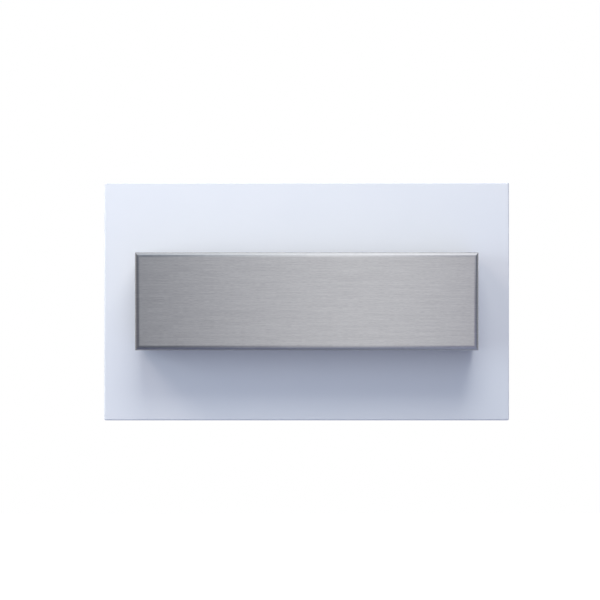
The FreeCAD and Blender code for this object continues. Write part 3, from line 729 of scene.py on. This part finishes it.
nothing_selected()
low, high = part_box("inner_hinge_rod")
bpy.ops.mesh.primitive_cylinder_add(vertices=40, radius=0.002, depth=high.x - low.x, location=ROD / 1000,
                                    rotation=(0, math.radians(90), 0))
hinge_rod = bpy.context.object
hinge_rod.name = hinge_rod.data.name = "hinge_rod"
bpy.ops.object.transform_apply(location=True, rotation=True, scale=True)
round_edges(hinge_rod, 0.5, angle=60)
smooth(hinge_rod, 40)
hinge_rod.data.materials.append(turned_stainless)
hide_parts("inner_hinge_rod")
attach(hinge_rod, "inner")


# ---- Inner springs ----
# Torsion springs of 1 mm wire on the rod. One leg bears on the frame above the rod, the other comes
# through the flap's notch and presses on its room side.

def leaves_coil(tip, coil_radius, sense):
    """The angle at which a straight leg to the tip leaves the coil."""
    away = Vector((tip[0] - ROD.y, tip[1] - ROD.z))
    return math.degrees(math.atan2(away.y, away.x) + sense * math.acos(coil_radius / away.length))


# the points (y, z) where the legs touch the frame and the flap, the coil's radius and pitch, and the
# x where it starts
on_frame, on_flap = (48.55, 42.0), (52.05, 23.1)
INNER_COIL, INNER_PITCH, INNER_X = 3.2, 1.3, 101.5
start, end = leaves_coil(on_frame, INNER_COIL, 1), leaves_coil(on_flap, INNER_COIL, -1)
coil_end = INNER_X + INNER_PITCH * ((end - start) % 360 + 5 * 360) / 360
right_inner = torsion_spring(
    "right_inner_spring_wire", (ROD.y, ROD.z), INNER_COIL, WIRE, INNER_PITCH, start, end, 5, INNER_X,
    [[(INNER_X, *on_frame)], [(coil_end, *on_flap), (coil_end, on_flap[0], 8.0)]])
right_inner.data.materials.append(spring_wire)
left_inner = other_side(right_inner, "left_inner_spring_wire")
for spring, side, stands_for in ((right_inner, 1, "right_inner_spring"),
                                 (left_inner, -1, "left_inner_spring")):
    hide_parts(stands_for)
    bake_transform(spring)


# ---- Floor, light and camera ----
# A plain pale floor well below the letter plate, three soft lights above, above left and to the
# left, a fourth behind, a soft room that the steel reflects, and a camera square on to the face.

nothing_selected()
bpy.ops.mesh.primitive_plane_add(size=8, location=(0, 0, -0.9))
floor = bpy.context.object
floor.name = "floor"
pale, tree = start_material("pale_floor")
surface = node(tree, "BsdfPrincipled", {"Base Color": rgb("F4F4F4"), "Roughness": 0.9,
                                        "Emission Color": rgb("FFFFFF"), "Emission Strength": 0.75})
node(tree, "OutputMaterial", {"Surface": surface.outputs[0]})
floor.data.materials.append(pale)
floor.visible_diffuse = floor.visible_glossy = False

room = bpy.data.worlds.new("soft_room")
bpy.context.scene.world = room
room.use_nodes = True
tree = room.node_tree
tree.nodes.clear()

# The room as the object sees it, by direction. In front of the object, three ramps across from left
# to right: "below" for straight down, "level" and "above" for straight up. Brightest in the middle,
# with dim sides and a bluer ground to the right.
way = node(tree, "SeparateXYZ", {"Vector": node(tree, "TexCoord").outputs["Generated"]})
across = node(tree, "MapRange", {"Value": way.outputs["X"], "From Min": -1, "From Max": 1})
below = node(tree, "ValToRGB", {"Fac": across.outputs["Result"]}, stops=[
    (0, (0.31, 0.25, 0.36, 1)), (0.275, (0.26, 0.22, 0.34, 1)), (0.39, (0.10, 0.12, 0.16, 1)),
    (0.46, (0.10, 0.12, 0.26, 1)), (0.54, (0.25, 0.30, 0.43, 1)), (0.61, (0.34, 0.38, 0.60, 1)),
    (0.725, (0.53, 0.60, 1.00, 1)), (1, (0.46, 0.56, 0.96, 1))])
level = node(tree, "ValToRGB", {"Fac": across.outputs["Result"]}, stops=[
    (0, (0.26, 0.28, 0.31, 1)), (0.275, (0.10, 0.12, 0.14, 1)), (0.39, (0.10, 0.12, 0.14, 1)),
    (0.46, (0.57, 0.58, 0.64, 1)), (0.54, (1.12, 1.15, 1.19, 1)), (0.61, (0.22, 0.21, 0.27, 1)),
    (0.725, (0.10, 0.12, 0.14, 1)), (1, (0.22, 0.24, 0.27, 1))])
above = node(tree, "ValToRGB", {"Fac": across.outputs["Result"]}, stops=[
    (0, (0.10, 0.12, 0.17, 1)), (0.275, (0.10, 0.12, 0.14, 1)), (0.39, (0.23, 0.28, 0.42, 1)),
    (0.46, (1.17, 1.28, 1.40, 1)), (0.54, (1.67, 1.76, 1.91, 1)), (0.61, (1.02, 1.08, 1.23, 1)),
    (0.725, (0.26, 0.32, 0.44, 1)), (1, (0.10, 0.12, 0.14, 1))])
rise = node(tree, "MapRange", {"Value": way.outputs["Z"], "From Min": -1, "From Max": 0})
climb = node(tree, "MapRange", {"Value": way.outputs["Z"], "From Min": 0, "From Max": 1})
walls = node(tree, "Mix", {0: rise.outputs["Result"], 6: below.outputs["Color"],
                           7: level.outputs["Color"]}, data_type="RGBA")
walls = node(tree, "Mix", {0: climb.outputs["Result"], 6: walls.outputs[2], 7: above.outputs["Color"]},
             data_type="RGBA")

# behind the object, an even hall that grows lighter upwards
height = node(tree, "MapRange", {"Value": way.outputs["Z"], "From Min": -1, "From Max": 1})
hall = node(tree, "ValToRGB", {"Fac": height.outputs["Result"]}, stops=[
    (0, (0.20, 0.20, 0.21, 1)), (0.5, (0.46, 0.47, 0.49, 1)), (1, (0.85, 0.86, 0.88, 1))])
turned_away = node(tree, "MapRange", {"Value": way.outputs["Y"], "From Min": 0.05, "From Max": 0.55})
walls = node(tree, "Mix", {0: turned_away.outputs["Result"], 6: walls.outputs[2],
                           7: hall.outputs["Color"]}, data_type="RGBA")

# the camera itself sees plain white
lighting = node(tree, "Background", {"Color": walls.outputs[2], "Strength": 1.04})
seen = node(tree, "Background", {"Color": (1, 1, 1, 1), "Strength": 1.0})
choice = node(tree, "MixShader", {0: node(tree, "LightPath").outputs["Is Camera Ray"],
                                  1: lighting.outputs[0], 2: seen.outputs[0]})
node(tree, "OutputWorld", {"Surface": choice.outputs[0]})


def soft_light(name, at, width, height, watts, colour):
    """A rectangular soft light that faces the object. It lights without showing in the steel."""
    panel = bpy.data.lights.new(name, "AREA")
    panel.shape, panel.size, panel.size_y = "RECTANGLE", width, height
    panel.energy, panel.color = watts, colour
    lamp = bpy.data.objects.new(name, panel)
    bpy.context.scene.collection.objects.link(lamp)
    lamp.location = at
    lamp.rotation_euler = (-Vector(at)).to_track_quat("-Z", "Y").to_euler()
    lamp.visible_glossy = False


soft_light("top_left", (-0.9, -0.25, 0.95), 0.7, 0.5, 11.4, (1.00, 0.89, 0.76))
soft_light("top", (0.1, -0.6, 1.1), 0.8, 0.6, 11.4, (1.00, 1.00, 0.90))
soft_light("left", (-1.3, -0.7, 0.1), 0.8, 0.9, 9.0, (0.87, 0.97, 1.00))
soft_light("behind", (0.7, 1.3, 0.8), 1.0, 0.8, 11, (1.0, 0.98, 0.97))

camera = bpy.data.objects.new("camera", bpy.data.cameras.new("camera"))
bpy.context.scene.collection.objects.link(camera)
camera.location = (-0.0055, -1.006, 0.0011)
camera.rotation_euler = (math.radians(90), 0, 0)
camera.data.lens, camera.data.sensor_width = 71.5, 36
bpy.context.scene.camera = camera
bpy.context.scene.view_settings.view_transform = "Standard"
